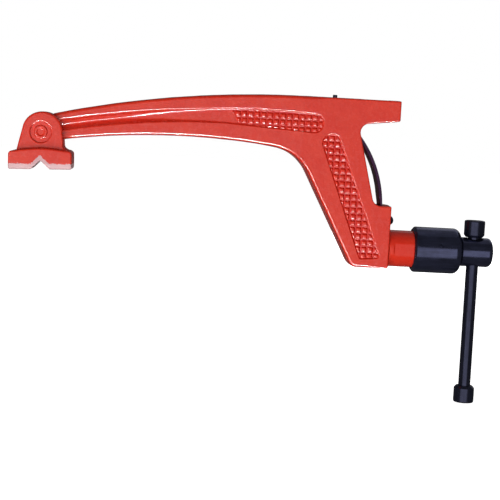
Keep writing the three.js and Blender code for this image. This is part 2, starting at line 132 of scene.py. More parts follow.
PIVOT_HOLE, SHOE_PIN_HOLE, SPIGOT_HOLE, RIVET_HOLE = 4.3, 1.95, 11.3, 2.3
REAR_WALL_X = 10
SLEEVE_PIN_X, SLEEVE_PIN_LIFT = 60.6, math.radians(16)
SLEEVE_PIN_AXIS = (0, -math.cos(SLEEVE_PIN_LIFT), math.sin(SLEEVE_PIN_LIFT))


# ---- Distance field tools ----

def smooth_step(value, start, end):
    t = np.clip((value - start) / (end - start), 0, 1)
    return t * t * (3 - 2 * t)


def meet(a, b, radius):
    """The part inside both fields, with the edge between them rounded."""
    outside = np.hypot(np.maximum(a + radius, 0), np.maximum(b + radius, 0))
    return np.minimum(np.maximum(a, b), -radius) + outside


def join(a, b, radius):
    return -meet(-a, -b, radius)


def soft_least(a, b, width):
    """The lesser of two values, blended where they differ by less than the width."""
    near = np.maximum(width - np.abs(a - b), 0) / width
    return np.minimum(a, b) - near * near * width / 4


def soft_most(a, b, width):
    return -soft_least(-a, -b, width)


def cut(a, b, radius):
    """Field a without field b, with a rounded edge."""
    return meet(a, -b, radius)


def ripple(x, y, z, length):
    """A smooth unevenness between about -1 and 1, as on a forging under thick paint."""
    u, v, w = x / length, y / length, z / length
    first = np.sin(2.1 * u + 1.7 * v + 0.4) * np.sin(1.9 * w - 0.8 * u + 1.3)
    second = np.sin(4.3 * w + 1.1 * u - 2.0) * np.sin(3.7 * u - 2.9 * v + 0.7)
    return 0.6 * first + 0.4 * second


def arc_points(centre, radius, start, end, steps):
    angles = np.linspace(start, end, steps)
    return np.stack([centre[0] + radius * np.cos(angles), centre[1] + radius * np.sin(angles)], 1)


def rounded_outline(corners, steps=9):
    """A closed outline whose corners, given as (x, z) or (x, z, radius), are rounded with arcs."""
    corners = [tuple(c) + (0,) * (3 - len(c)) for c in corners]
    points = []
    for i, (x, z, radius) in enumerate(corners):
        here = np.array((x, z), float)
        if radius == 0:
            points.append(here[None])
            continue
        back = np.array(corners[i - 1][:2]) - here
        ahead = np.array(corners[(i + 1) % len(corners)][:2]) - here
        back, ahead = back / np.linalg.norm(back), ahead / np.linalg.norm(ahead)
        half = math.acos(float(np.clip(back @ ahead, -1, 1))) / 2
        middle = (back + ahead) / np.linalg.norm(back + ahead)
        centre = here + middle * radius / math.sin(half)
        start, end = [here + way * radius / math.tan(half) - centre for way in (back, ahead)]
        a = math.atan2(start[1], start[0])
        turn = (math.atan2(end[1], end[0]) - a + math.pi) % (2 * math.pi) - math.pi
        points.append(arc_points(centre, radius, a, a + turn, steps))
    return np.concatenate(points)


MAP_SPACING, FINE_SPACING = 0.3, 0.2


def distance_map(points, spacing=MAP_SPACING, margin=3.0):
    """A function of x and z that gives the signed distance to a closed outline, negative inside."""
    low = points.min(0) - margin
    count = np.ceil((points.max(0) + margin - low) / spacing).astype(int) + 1
    x = (low[0] + spacing * np.arange(count[0], dtype=np.float32))[:, None]
    z = (low[1] + spacing * np.arange(count[1], dtype=np.float32))[None, :]
    nearest = np.full((count[0], count[1]), 1e9, np.float32)
    inside = np.zeros(nearest.shape, bool)
    for (ax, az), (bx, bz) in zip(points, np.roll(points, -1, axis=0)):
        ex, ez = bx - ax, bz - az
        along = np.clip(((x - ax) * ex + (z - az) * ez) / max(ex * ex + ez * ez, 1e-9), 0, 1)
        nearest = np.minimum(nearest, (x - ax - along * ex) ** 2 + (z - az - along * ez) ** 2)
        if az != bz:
            inside ^= ((z >= az) != (z >= bz)) & (x < ax + (z - az) * ex / ez)
    field = np.sqrt(nearest)
    field[inside] *= -1

    def sample(px, pz):
        u = np.clip((px - low[0]) / spacing, 0, count[0] - 1.001)
        v = np.clip((pz - low[1]) / spacing, 0, count[1] - 1.001)
        i, j = u.astype(int), v.astype(int)
        fu, fv = u - i, v - j
        lower = field[i, j] * (1 - fu) + field[i + 1, j] * fu
        upper = field[i, j + 1] * (1 - fu) + field[i + 1, j + 1] * fu
        return lower * (1 - fv) + upper * fv

    return sample


CORNERS = np.array([(i, j, k) for i in (0, 1) for j in (0, 1) for k in (0, 1)])
CELL_EDGES = [
    (a, b) for a in range(8) for b in range(a + 1, 8) if abs(CORNERS[a] - CORNERS[b]).sum() == 1
]


def net_surface(field, low, high, step):
    """Quads on a field's zero surface: a vertex in each cell that it crosses, joined across edges."""
    low = np.array(low, float) - 1.37 * step
    count = np.ceil((np.array(high, float) - low) / step).astype(int) + 3
    x, y, z = [low[i] + step * np.arange(count[i]) for i in range(3)]
    value = field(x[:, None, None], y[None, :, None], z[None, None, :])
    value = np.broadcast_to(value, tuple(count)).astype(np.float32)
    inside = value < 0
    total = sum(inside[i:count[0] - 1 + i, j:count[1] - 1 + j, k:count[2] - 1 + k].astype(np.int8)
                for i, j, k in CORNERS)
    cells = np.argwhere((total > 0) & (total < 8))
    at_corner = np.stack([value[tuple((cells + corner).T)] for corner in CORNERS], 1)
    place = np.zeros((len(cells), 3))
    hits = np.zeros(len(cells))
    for a, b in CELL_EDGES:
        va, vb = at_corner[:, a], at_corner[:, b]
        crossed = (va < 0) != (vb < 0)
        t = np.where(crossed, va / np.where(va == vb, 1, va - vb), 0)
        place += np.where(crossed[:, None], CORNERS[a] + t[:, None] * (CORNERS[b] - CORNERS[a]), 0)
        hits += crossed
    vertices = low + (cells + place / hits[:, None]) * step
    number = np.full(tuple(count - 1), -1, np.int32)
    number[tuple(cells.T)] = np.arange(len(cells))
    quads = []
    for axis in range(3):
        first = np.take(inside, range(count[axis] - 1), axis)
        second = np.take(inside, range(1, count[axis]), axis)
        edge = np.argwhere(first != second)
        leaving = first[tuple(edge.T)]
        u, v = [np.eye(3, dtype=int)[(axis + n) % 3] for n in (1, 2)]
        ring = [number[tuple((edge - shift).T)] for shift in (u + v, v, 0 * u, u)]
        quad = np.stack(ring, 1)
        quad[~leaving] = quad[~leaving][:, ::-1]
        quads.append(quad)
    return vertices, np.concatenate(quads)


def at_points(field, points):
    return np.asarray(field(points[:, 0], points[:, 1], points[:, 2]))


def gradient(field, points, reach=0.05):
    rises = [at_points(field, points + s) - at_points(field, points - s) for s in np.eye(3) * reach]
    return np.stack(rises, 1) / (2 * reach)


def settle(field, points, limit):
    """Moves points onto the field's zero surface."""
    for _ in range(2):
        slope = gradient(field, points)
        size = np.maximum((slope ** 2).sum(1), 1e-6)
        move = -slope * (at_points(field, points) / size)[:, None]
        length = np.linalg.norm(move, axis=1)
        points = points + move * np.minimum(1, limit / np.maximum(length, 1e-9))[:, None]
    return points


# ---- Meshes ----

def new_piece(name, vertices, faces, material, body, node):
    """A smooth-shaded mesh that rides on a body and stands for a CAD node."""
    mesh = bpy.data.meshes.new(name)
    mesh.from_pydata(vertices, [], faces)
    mesh.validate()
    piece = bpy.data.objects.new(name, mesh)
    bpy.context.scene.collection.objects.link(piece)
    mesh.materials.append(material)
    mesh.polygons.foreach_set("use_smooth", [True] * len(mesh.polygons))
    if body:
        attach(piece, body)
    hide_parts(node)
    return piece


def apply_modifiers(piece):
    graph = bpy.context.evaluated_depsgraph_get()
    done = bpy.data.meshes.new_from_object(piece.evaluated_get(graph))
    done.name = piece.data.name
    piece.modifiers.clear()
    piece.data = done


def carve(name, field, box, material, body, node, step, most_triangles):
    """A piece meshed from its field, thinned where it is flat, with normals taken from the field."""
    vertices, quads = net_surface(field, *box, step)
    vertices = settle(field, vertices, limit=0.6 * step)
    piece = new_piece(name, (vertices * MM).tolist(), quads.tolist(), material, body, node)
    if 2 * len(quads) > most_triangles:
        thin = piece.modifiers.new("thin", "DECIMATE")
        thin.ratio = most_triangles / (2 * len(quads))
        apply_modifiers(piece)
    mesh = piece.data
    mesh.polygons.foreach_set("use_smooth", [True] * len(mesh.polygons))
    normals = gradient(field, mesh_places(piece))
    normals /= np.maximum(np.linalg.norm(normals, axis=1), 1e-9)[:, None]
    mesh.normals_split_custom_set_from_vertices(normals.tolist())
    return piece


ON_AXIS = 1e-6


def lathe(name, profile, place, axis, material, body, node, around=96):
    """A turned piece from (radius, height) points. The profile starts and ends on the axis."""
    rings, faces, vertices = [], [], []
    for radius, height in profile:
        if radius < ON_AXIS:
            rings.append([len(vertices)])
            vertices.append((0, 0, height))
            continue
        rings.append(list(range(len(vertices), len(vertices) + around)))
        for i in range(around):
            angle = 2 * math.pi * i / around
            vertices.append((radius * math.cos(angle), radius * math.sin(angle), height))
    for near, far in zip(rings, rings[1:]):
        for i in range(around):
            k = (i + 1) % around
            if len(near) == 1:
                faces.append((near[0], far[k], far[i]))
            elif len(far) == 1:
                faces.append((near[i], near[k], far[0]))
            else:
                faces.append((near[i], near[k], far[k], far[i]))
    turn = Vector((0, 0, 1)).rotation_difference(Vector(axis)).to_matrix()
    points = [tuple((turn @ Vector(v) + Vector(place)) * MM) for v in vertices]
    piece = new_piece(name, points, faces, material, body, node)
    weigh = piece.modifiers.new("weigh", "WEIGHTED_NORMAL")
    weigh.keep_sharp = True
    apply_modifiers(piece)
    return piece


def soft_profile(corners, steps=6):
    """Profile points with rounded corners, given as (radius, height) or (radius, height, rounding)."""
    ends = [corners[0][:2], corners[-1][:2]]
    past_axis = [(-5, height) for _, height in ends]
    closed = rounded_outline([past_axis[0], *corners[1:-1], past_axis[1]], steps)
    inner = [p for p in closed.tolist() if p[0] > 0]
    return [ends[0]] + inner + [ends[1]]


# ---- Materials ----

class Nodes:
    """Short names for building a material's nodes."""

    def __init__(self, name):
        self.material = bpy.data.materials.new(name)
        self.material.use_nodes = True
        self.tree = self.material.node_tree
        self.shader = self.tree.nodes["Principled BSDF"]
        self.place = self.add("ShaderNodeTexCoord").outputs["Object"]

    def add(self, kind, **settings):
        node = self.tree.nodes.new(kind)
        for key, value in settings.items():
            setattr(node, key, value)
        return node

    def link(self, source, target):
        self.tree.links.new(source, target)

    def feed(self, socket, value):
        """Links a value that comes from a node, and sets a plain number or colour on the socket."""
        if isinstance(value, tuple):
            socket.default_value = (*value, 1)
        elif isinstance(value, (int, float)):
            socket.default_value = value
        else:
            self.link(value, socket)

    def noise(self, scale, detail, stretch=(1, 1, 1)):
        mapping = self.add("ShaderNodeMapping")
        mapping.inputs["Scale"].default_value = stretch
        self.link(self.place, mapping.inputs["Vector"])
        node = self.add("ShaderNodeTexNoise")
        node.inputs["Scale"].default_value = scale
        node.inputs["Detail"].default_value = detail
        self.link(mapping.outputs["Vector"], node.inputs["Vector"])
        return node.outputs["Fac"]

    def remap(self, source, span, to=(0, 1)):
        node = self.add("ShaderNodeMapRange")
        for key, value in zip(("From Min", "From Max", "To Min", "To Max"), (*span, *to)):
            node.inputs[key].default_value = value
        self.link(source, node.inputs["Value"])
        return node.outputs["Result"]

    def math(self, operation, a, b):
        node = self.add("ShaderNodeMath", operation=operation)
        for socket, value in zip(node.inputs, (a, b)):
            self.feed(socket, value)
        return node.outputs["Value"]

    def mix(self, factor, a, b):
        """Mixes two colours. The colour sockets of the node are 6 and 7, and its colour output is 2."""
        node = self.add("ShaderNodeMix", data_type="RGBA")
        for index, value in zip((0, 6, 7), (factor, a, b)):
            self.feed(node.inputs[index], value)
        return node.outputs[2]

    def bump(self, height, distance, strength, after=None):
        node = self.add("ShaderNodeBump")
        node.inputs["Strength"].default_value = strength
        node.inputs["Distance"].default_value = distance
        self.link(height, node.inputs["Height"])
        if after:
            self.link(after, node.inputs["Normal"])
        return node.outputs["Normal"]

    def hollows(self):
        """1 in creases and grooves, 0 on flats and edges: where the materials paint shade."""
        pointiness = self.add("ShaderNodeNewGeometry").outputs["Pointiness"]
        return self.remap(pointiness, (0.42, 0.5), to=(1, 0))

    def attribute(self, name):
        """A value that the mesh stores at each vertex."""
        return self.add("ShaderNodeAttribute", attribute_name=name).outputs["Fac"]

    def finish(self, colour, roughness, normal=None, **shader):
        self.feed(self.shader.inputs["Base Color"], colour)
        self.feed(self.shader.inputs["Roughness"], roughness)
        if normal:
            self.link(normal, self.shader.inputs["Normal"])
        for key, value in shader.items():
            self.shader.inputs[key.replace("_", " ")].default_value = value
        return self.material


# The third red is painted shade for creases and grooves, and the colour of small pits.
RED_BRIGHT, RED_DEEP, RED_SHADE_AND_SPECK = (0.66, 0.036, 0.016), (0.60, 0.024, 0.011), (0.42, 0.008, 0.008)
# The bare colours are matte pink-white, a painted reflection that stands in for the light the ground steel
# reflects; the grey marks its scratches.
BARE_PINK_REFLECTED, BARE_GREY = (0.58, 0.33, 0.34), (0.43, 0.25, 0.26)
BLACK_BASE, BLACK_SHEEN = (0.060, 0.064, 0.110), (0.100, 0.108, 0.200)
DRAWN_BASE, DRAWN_SHEEN = (0.045, 0.047, 0.078), (0.066, 0.070, 0.120)
# Painted reflection: the spring colours are tinted purple for red light reflected from the arm.
SPRING_RED_REFLECTED_BASE, SPRING_RED_REFLECTED_SHEEN = (0.050, 0.020, 0.050), (0.085, 0.036, 0.085)
STEEL_BASE, STEEL_SHEEN = (0.50, 0.48, 0.48), (0.66, 0.64, 0.63)
FLOOR_TONES = (0.86, 0.86, 0.87), (0.88, 0.88, 0.88)
ENAMEL_SPECULAR = 0.15
STEEL_METALLIC = 0.95


def enamel_layers(m):
    """Colour, roughness, bump and gloss coat of thick enamel over a forging, with painted shade in creases
    and between the grip squares.
    """
    tone = m.remap(m.noise(scale=70, detail=4), (0.35, 0.65), to=(0, 0.7))
    fine = m.remap(m.noise(scale=1300, detail=3), (0.35, 0.65), to=(-0.3, 0.3))
    colour = m.mix(m.math("ADD", tone, fine), RED_DEEP, RED_BRIGHT)
    groove = m.attribute("groove")
    # Painted shade: darker red in creases and between the grip squares, partly standing for paint pooled
    # there.
    pooled_and_shaded = m.math("MAXIMUM", m.math("MULTIPLY", m.hollows(), 0.5), m.math("MULTIPLY", groove, 0.55))
    colour = m.mix(pooled_and_shaded, colour, RED_SHADE_AND_SPECK)
    speck = m.remap(m.noise(scale=1500, detail=2), (0.72, 0.80), to=(0, 0.12))
    colour = m.mix(speck, colour, RED_SHADE_AND_SPECK)
    roughness = m.remap(m.noise(scale=260, detail=5), (0.3, 0.7), to=(0.2, 0.32))
    forged = m.bump(m.noise(scale=240, detail=3), distance=0.0006, strength=0.3)
    peel = m.bump(m.noise(scale=650, detail=2), distance=0.00016, strength=0.5, after=forged)
    grain = m.bump(m.noise(scale=2600, detail=2), distance=0.00004, strength=0.35, after=peel)
    coat = m.remap(groove, (0.0, 0.3), to=(0.5, 0.06))
    return colour, roughness, grain, coat


def red_enamel():
    m = Nodes("red_enamel")
    colour, roughness, normal, coat = enamel_layers(m)
    m.link(coat, m.shader.inputs["Coat Weight"])
    return m.finish(colour, roughness, normal, Coat_Roughness=0.05, Specular_IOR_Level=ENAMEL_SPECULAR)


def pad_enamel():
    """Red enamel that stops at a ragged line above the pad's ground gripping edge, whose bare steel has its
    reflected light painted in as a matte pink-white colour.
    """
    m = Nodes("pad_enamel")
    red, roughness, normal, coat = enamel_layers(m)
    rag = m.remap(m.noise(scale=760, detail=5), (0.3, 0.7), to=(-0.22, 0.22))
    painted = m.remap(m.math("ADD", m.attribute("grip_edge"), rag), (0.96, 1.04))
    scratches = m.remap(m.noise(scale=420, detail=4, stretch=(0.35, 1, 6)), (0.35, 0.65), to=(0, 0.4))
    colour = m.mix(painted, m.mix(scratches, BARE_PINK_REFLECTED, BARE_GREY), red)
    bare_roughness = m.math("MULTIPLY", m.math("SUBTRACT", 1, painted), 0.3)
    roughness = m.math("ADD", roughness, bare_roughness)
    m.link(m.math("MULTIPLY", coat, painted), m.shader.inputs["Coat Weight"])
    return m.finish(colour, roughness, normal, Coat_Roughness=0.06, Specular_IOR_Level=ENAMEL_SPECULAR)


def oxide_steel(name, base, sheen, stretch, rough=(0.12, 0.26)):
    """Steel with fine tool marks drawn out along the stretch, a paler sheen in patches, and painted shade
    in its creases.
    """
    m = Nodes(name)
    patch = m.remap(m.noise(scale=110, detail=4), (0.3, 0.7))
    colour = m.mix(patch, base, sheen)
    streak = m.noise(scale=300, detail=5, stretch=stretch)
    bright, crease_shade = tuple(1.5 * c for c in sheen), tuple(0.3 * c for c in base)
    colour = m.mix(m.remap(streak, (0.35, 0.75), to=(0, 0.5)), colour, bright)
    # Painted shade: darker in creases and grooves.
    colour = m.mix(m.math("MULTIPLY", m.hollows(), 0.6), colour, crease_shade)
    roughness = m.remap(streak, (0.3, 0.7), to=rough)
    marks = m.bump(m.noise(scale=900, detail=3, stretch=stretch), distance=0.00002, strength=0.5)
    dents = m.bump(m.noise(scale=170, detail=2), distance=0.0003, strength=0.12, after=marks)
    return m.finish(colour, roughness, dents, Metallic=STEEL_METALLIC)


def pale_floor():
    m = Nodes("pale_floor")
    patch = m.remap(m.noise(scale=3, detail=2), (0.3, 0.7))
    tone = m.mix(patch, *FLOOR_TONES)
    return m.finish(tone, 0.9, Emission_Strength=1.0, Emission_Color=(1, 1, 1, 1))


# ---- The arm ----

def arm_top(x):
    along = np.minimum(0, x - ARM_TOP_START_X)
    return HEAD_TOP - ARM_TOP_RADIUS + np.sqrt(ARM_TOP_RADIUS ** 2 - along ** 2)


def arm_under(x):
    return ARM_BELLY_Z - ARM_BELLY_RADIUS + np.sqrt(ARM_BELLY_RADIUS ** 2 - (x - ARM_BELLY_X) ** 2)


def flute_upper(x):
    """Height of the side recess's upper lip."""
    stations, below_top = [-219, -129, -85, -35], [5.2, 9.3, 10.2, 12.6]
    return arm_top(x) - np.interp(x, stations, below_top)


def flute_lower(x):
    """Height of its lower lip: an arch up to its crown, and a straight fall after it."""
    crown_x, crown_z, radius, fall = -104, -12.8, 575, 0.055
    arch = crown_z - radius + np.sqrt(radius ** 2 - np.minimum(x - crown_x, 0) ** 2)
    return arch - fall * np.maximum(x - crown_x, 0)


def along_curve(curve, start, end, steps):
    return [(x, float(curve(x))) for x in np.linspace(start, end, steps)]


def arm_outline():
    neck_x = PIVOT[0] + 8
    return rounded_outline([
        (NOSE_END, HEAD_TOP, 1.2), (NOSE_END, NOSE_UNDER_Z, 1.6), (LEG_FRONT_TOP_X, TAB_UNDER_Z, 6),
        (LEG_FRONT_FOOT_X, BLOCK_TOP, 6), (BLOCK_FACE_X, BLOCK_TOP, 1.2), (BLOCK_FACE_X, BLOCK_BOTTOM, 2),
        (LEG_BACK_FOOT_X, BLOCK_BOTTOM, 6), (*LEG_BACK_TOP, 34),
        *along_curve(arm_under, -80, neck_x, 14), *along_curve(arm_top, neck_x, ARM_TOP_START_X, 20),
    ], 12)


def neck_outline():
    """The arm's end between the pad's cheeks: a round tongue that runs out into the arm."""
    root_x = PIVOT[0] + 14
    start = (root_x, float(arm_under(root_x)))
    end = (root_x, float(arm_top(root_x)))
    tongue = arc_points((PIVOT[0], PIVOT[2]), TONGUE_RADIUS, math.radians(80), math.radians(275), 40)
    return np.array([end, *tongue.tolist(), start])


def flute_outline():
    left, right = -224.5, -31
    lower = along_curve(flute_lower, right - 9, left + 4.5, 18)
    upper = along_curve(flute_upper, left + 4.5, right - 9, 18)
    return rounded_outline([
        (right, float(flute_lower(right)), 6.6), *lower, (left, float(flute_lower(left)), 3.4),
        (left, float(flute_upper(left)), 3.4), *upper, (right, float(flute_upper(right)), 6.6),
    ])


def leg_panel_outline():
    return rounded_outline([
        (-34.4, -16.6, 6.6), (-19.5, -16.6, 4.5), (16.3, -105.4, 2.2), (0.6, -106.8, 2.2),
    ])


def channel_outline():
    """The bar's way up through the block and the head, with the shoe's seat in front of it."""
    shoe_back, shoe_top, shoe_bottom = SHOE_LOW[0] - GAP, SHOE_HIGH[2] + GAP, SHOE_LOW[2] - GAP
    return rounded_outline([
        (NOSE_INNER_X, 30), (WINDOW_FRONT_X, 30), (WINDOW_FRONT_X, shoe_top), (shoe_back, shoe_top),
        (shoe_back, shoe_bottom), (SLOT_FLOOR_X, shoe_bottom), (SLOT_FLOOR_X, -60), (WINDOW_FRONT_X, -70),
        (WINDOW_FRONT_X, -130), (WALL_INNER_X, -130), (WALL_INNER_X, -40), (NOSE_INNER_X, -40),
    ])


def half_depth(x):
    """Half the arm's thickness: a tongue between the pad's cheeks that widens towards the head."""
    return np.interp(x, [TONGUE_END_X, ARM_FULL_X], [TONGUE_HALF, HEAD_HALF])


def cell_shift(index_x, index_z, seed):
    """A small fixed offset between -1 and 1 for each grip square."""
    return np.sin(index_x * 12.9898 + index_z * 78.233 + seed)


def grip_squares(x, z, start):
    """Height of the raised grip squares, which follow the arm's own axes."""
    start_x, start_z = start
    index_x = np.floor((x - start_x) / GRIP_PITCH_X)
    index_z = np.floor((z - start_z) / GRIP_PITCH_Z)
    u = x - start_x - (index_x + 0.5) * GRIP_PITCH_X + GRIP_WANDER * cell_shift(index_x, index_z, 1)
    v = z - start_z - (index_z + 0.5) * GRIP_PITCH_Z + GRIP_WANDER * cell_shift(index_x, index_z, 4)
    edge = -meet(np.abs(u) - GRIP_SQUARE / 2, np.abs(v) - GRIP_SQUARE / 2, GRIP_CORNER)
    rise = np.clip(edge / GRIP_FLANK, 0, 1)
    height = GRIP_HEIGHT * (1 + GRIP_UNEVEN * cell_shift(index_x, index_z, 7))
    return height * rise * (2 - rise)


def arm_grip_start_x(z):
    """Slanted left end of the grip squares in the flute."""
    return ARM_GRIP_END_X - ARM_GRIP_END_SLANT * (z - ARM_GRIP_END_Z)


def arm_field():
    outline = distance_map(arm_outline())
    neck = distance_map(neck_outline())
    flute = distance_map(flute_outline(), FINE_SPACING)
    leg_panel = distance_map(leg_panel_outline(), FINE_SPACING)
    channel = distance_map(channel_outline())

    def recess(x, z):
        """Depth of the flute and the two grip panels below the arm's side."""
        inside = -flute(x, z)
        towards_head = smooth_step(x, -190, -100)
        deepest = FLUTE_DEEP + (ARM_GRIP_FLOOR - FLUTE_DEEP) * towards_head
        middle = (flute_upper(x) + flute_lower(x)) / 2
        upper_side = smooth_step(z - middle, -1.5, 1.5)
        upper_slope, lower_slope = 1.15 + 0.7 * towards_head, 1.75 + 0.2 * towards_head
        slope = upper_side * upper_slope + (1 - upper_side) * lower_slope
        foot = 3.2 - 2.2 * towards_head
        lip = 1.0 - 0.4 * towards_head
        side = soft_most(0, soft_least(deepest, slope * inside, foot), lip)
        past_end = np.clip((x - arm_grip_start_x(z)) / 0.6, 0, 1)
        grip_area = np.clip((inside - 0.55) / 0.7, 0, 1) * past_end
        side = side - np.minimum(grip_squares(x, z, ARM_GRIP_START) * grip_area, side)
        leg_inside = -leg_panel(x, z)
        leg_wall, leg_foot, leg_lip = 2.0, 0.8, 0.6
        leg = soft_most(0, soft_least(LEG_GRIP_FLOOR, leg_wall * leg_inside, leg_foot), leg_lip)
        leg_area = np.clip((leg_inside - 0.6) / 0.7, 0, 1)
        leg = leg - np.minimum(grip_squares(x, z, LEG_GRIP_START) * leg_area, leg)
        return side + leg

    def edge_radius(x, z):
        """Broad rounding on the arm and the leg's back, and tight rounding in front of them."""
        broad, less_in_front = 2.3, 1.2
        across_leg = (x + 30) * 0.94 + z * 0.34
        return broad - less_in_front * smooth_step(across_leg, -8, 6)

    def grooves(x, z):
        """1 between the raised grip squares, PANEL_SHADE on top of them and 0 outside the panels."""
        past_end = np.clip((x - arm_grip_start_x(z)) / 2, 0, 1)
        side_area = np.clip((-flute(x, z) - 0.2) / 0.8, 0, 1) * past_end
        leg_area = np.clip((-leg_panel(x, z) - 0.1) / 0.8, 0, 1)
        low_side = np.maximum(1 - grip_squares(x, z, ARM_GRIP_START) / GRIP_HEIGHT, PANEL_SHADE)
        low_leg = np.maximum(1 - grip_squares(x, z, LEG_GRIP_START) / GRIP_HEIGHT, PANEL_SHADE)
        return np.clip(side_area * low_side + leg_area * low_leg, 0, 1)

    def field(x, y, z):
        depth = np.abs(y)
        bumpy = ARM_RIPPLE * ripple(x, y, z, ARM_RIPPLE_LENGTH) * smooth_step(-x, 20, 40)
        side = depth - half_depth(x) + recess(x, z)
        profile = np.minimum(outline(x, z), neck(x, z))
        body = meet(profile + FORGING_DRAFT * depth + bumpy, side, edge_radius(x, z))
        slot = np.maximum(channel(x, z), depth - SLOT_HALF)
        body = cut(body, slot, 0.5)
        pin = np.maximum(np.hypot(x - SHOE_PIN_X, y) - SHOE_PIN_HOLE, -z)
        body = cut(body, pin, 0.25)
        pivot = np.hypot(x - PIVOT[0], z - PIVOT[2]) - PIVOT_HOLE
        body = cut(body, pivot, 0.3)
        spigot = np.maximum(np.hypot(y, z - SCREW_Z) - SPIGOT_HOLE, REAR_WALL_X - x)
        rivet = np.maximum(np.hypot(y, z - RIVET_Z) - RIVET_HOLE, REAR_WALL_X - x)
        return cut(cut(body, spigot, 0.25), rivet, 0.2)

    return field, grooves


def mesh_places(piece):
    """The piece's vertices in millimetres."""
    places = np.zeros(len(piece.data.vertices) * 3)
    piece.data.vertices.foreach_get("co", places)
    return places.reshape(-1, 3) / MM


def mark(piece, name, values):
    """Stores a value at each vertex for the material to read."""
    attribute = piece.data.attributes.new(name, "FLOAT", "POINT")
    attribute.data.foreach_set("value", values.astype(np.float32))


def make_arm(material):
    field, grooves = arm_field()
    step = 0.45
    arm = carve("forged_arm", field, (ARM_LOW, ARM_HIGH), material,
                "frame", "arm_body", step=step, most_triangles=190000)
    places = mesh_places(arm)
    on_side = np.clip((np.abs(places[:, 1]) - 6) / 2, 0, 1)
    # The groove value darkens the enamel as painted shade and thins its gloss coat.
    mark(arm, "groove", grooves(places[:, 0], places[:, 2]) * on_side)
    return arm


# ---- The swivel pad ----

PAD = {
    "half_width": 22.8, "base_top": -13.2, "bottom": -26.8, "base_half": 18, "cheek_half": 12.5,
    "crotch": 6.5, "lug_radius": 14.5, "lug_lift": 0.3, "lug_shift": 1.0,
    "notch_half": 6.8, "notch_depth": 6.6, "seat_radius": 7.6, "seat_depth": 1.6,
    "strip": 4.0, "strip_slant": 0.22, "strip_on_slope": 2.8,
}


def pad_frame(x, z):
    """Part coordinates turned to the pad's own, about its pivot."""
    dx, dz = x - PIVOT[0], z - PIVOT[2]
    c, s = math.cos(PAD_TILT), math.sin(PAD_TILT)
    return c * dx + s * dz, -s * dx + c * dz


def notch_depth_field(u, w):
    """Distance above the faces of the pad's V notch, negative in the notch."""
    slope = PAD["notch_depth"] / PAD["notch_half"]
    return (w - PAD["bottom"] - PAD["notch_depth"] + slope * np.abs(u)) / math.hypot(1, slope)


def pad_field():
    crown = arc_points((PAD["lug_shift"], PAD["lug_lift"]), PAD["lug_radius"], -0.05, math.radians(160), 28)
    lug = distance_map(rounded_outline([
        (-17.6, -15.5), (15.9, -15.5), (15.9, -13.1, 3), *crown.tolist(), (-17.4, PAD["base_top"]),
    ]), FINE_SPACING)
    fillet = distance_map(rounded_outline([
        (10, -15.5), (20.9, -15.5), (20.9, -13.35), (19.8, -13.2, 3), (16.2, -11.2, 4), (15.6, -2),
        (10, -2),
    ]), FINE_SPACING)
    base = distance_map(rounded_outline([
        (-PAD["half_width"], PAD["bottom"], 1.2), (PAD["half_width"], PAD["bottom"], 1.2),
        (PAD["half_width"], PAD["base_top"] - 0.4, 2.9), (17, PAD["base_top"]),
        (9, -12.1), (0, -11.6), (-9, -12.1), (-17, PAD["base_top"]),
        (-PAD["half_width"], PAD["base_top"] - 0.6, 2.6),
    ]), FINE_SPACING)

    def field(x, y, z):
        u, w = pad_frame(x, z)
        depth = np.abs(y)
        bumpy = PAD_RIPPLE * ripple(x, y, z, PAD_RIPPLE_LENGTH)
        in_strip = np.maximum(PAD["bottom"] + PAD["strip"] - w, 0)
        base_side = depth - PAD["base_half"] + PAD["strip_slant"] * in_strip
        low_part = meet(base(u, w) + bumpy, base_side, 1.3)
        cheek = meet(join(lug(u, w), fillet(u, w), 1.0) + bumpy, depth - PAD["cheek_half"], 1.6)
        body = join(low_part, cheek, 0.8)
        body = cut(body, notch_depth_field(u, w), 0.35)
        from_pivot = np.hypot(u, w)
        seat_floor = PAD["cheek_half"] - PAD["seat_depth"]
        body = cut(body, np.maximum(from_pivot - PAD["seat_radius"], seat_floor - depth), 0.9)
        crotch_end = np.minimum(from_pivot + PAD["base_top"] + 0.2, PAD["base_top"] - w)
        body = cut(body, np.maximum(depth - PAD["crotch"], crotch_end), 0.5)
        return cut(body, from_pivot - PIVOT_HOLE, 0.3)

    return field


def make_pad(material):
    step = 0.42
    pad = carve("grip_pad", pad_field(), node_box("swivel_pad"), material,
                "pad", "swivel_pad", step=step, most_triangles=110000)
    places = mesh_places(pad)
    u, w = pad_frame(places[:, 0], places[:, 2])
    above_bottom = (w - PAD["bottom"]) / PAD["strip"]
    off_slope = notch_depth_field(u, w) / PAD["strip_on_slope"]
    mark(pad, "grip_edge", np.minimum(above_bottom, off_slope))
    return pad


def make_pad_rivet(material):
    air, head_height, dimple = 0.15, 1.15, 0.9
    under = PAD["cheek_half"] - PAD["seat_depth"] + air
    top = under + head_height
    front = [
        (4, under - air), (4.9, under, 0.1), (4.9, top, 0.85), (3.1, top, 0.45), (2.2, top - dimple, 0.35),
    ]
    back = [(radius, -height, *rounding) for radius, height, *rounding in reversed(front)]
    profile = soft_profile([(0, -top + dimple), *back, *front, (0, top - dimple)])
    return lathe("swivel_rivet", profile, PIVOT, ACROSS, material, "pad", "pad_rivet")


# ---- The bar seat, the leaf and its rivet ----

